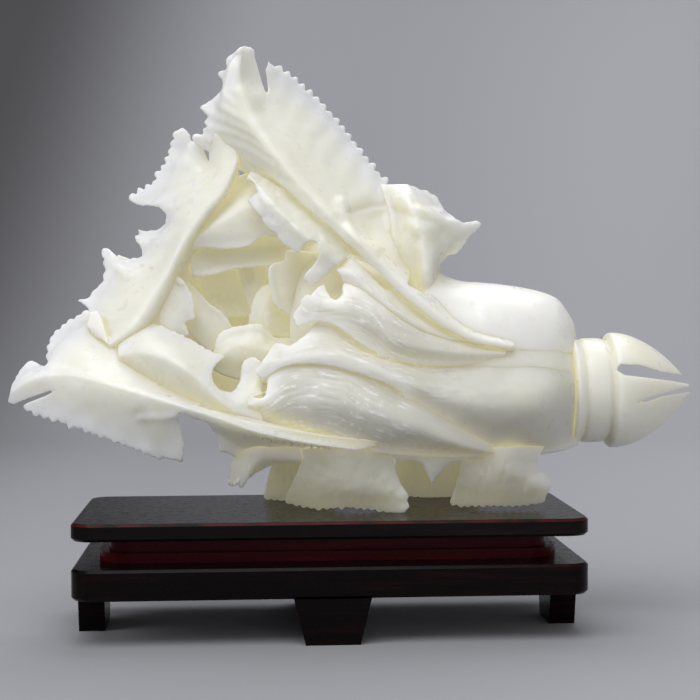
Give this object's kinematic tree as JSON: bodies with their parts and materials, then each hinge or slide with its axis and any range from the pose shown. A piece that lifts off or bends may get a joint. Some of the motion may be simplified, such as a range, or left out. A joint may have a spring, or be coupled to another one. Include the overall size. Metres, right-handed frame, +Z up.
{
  "type": "jade cabbage carving",
  "caption": "Pale carved jade Chinese cabbage lying on its side with toothed curling leaves, resting on a dark lacquered wooden stand.",
  "frame": {"origin": "on the floor, under the middle of the whole object", "axes": "+X towards the cabbage's root, +Y to the back, +Z up"},
  "size_m": [0.2961, 0.0946, 0.2483],
  "materials": {
    "white_jade": "gloss",
    "black_lacquer": "gloss",
    "red_lacquer": "satin",
    "dowel_wood": "matt"
  },
  "bodies": {
    "stand": {"top_board": "black_lacquer", "base_board": "black_lacquer", "stand_waist": "red_lacquer", "front_foot": "black_lacquer", "back_foot": "black_lacquer", "left_foot": "black_lacquer", "right_foot": "black_lacquer", "waist_dowels": "dowel_wood", "foot_dowels": "dowel_wood"},
    "carving": {"root_claws": "white_jade", "heart_core": "white_jade", "main_front_stalk": "white_jade", "lower_front_stalk": "white_jade", "middle_front_stalk": "white_jade", "upper_front_stalk": "white_jade", "upper_leaf": "white_jade", "inner_right_leaf": "white_jade", "back_left_leaf": "white_jade", "lower_left_leaf": "white_jade", "inner_front_leaf": "white_jade", "heart_cup": "white_jade", "inner_fold": "white_jade", "deep_right_petal": "white_jade", "top_inner_leaf": "white_jade", "right_petal": "white_jade", "lower_petal": "white_jade", "left_petal": "white_jade", "back_stalk": "white_jade", "back_curled_leaf": "white_jade", "rear_upper_leaf": "white_jade", "rear_lower_leaf": "white_jade", "front_left_foot": "white_jade", "front_right_foot": "white_jade", "back_left_foot": "white_jade", "back_right_foot": "white_jade", "left_stub": "white_jade"}
  },
  "joints": [
    {"name": "carving_lift", "type": "slide", "parent": "stand", "child": "carving", "axis": [0, 0, 1], "range_m": [0, 0.1]}
  ]
}
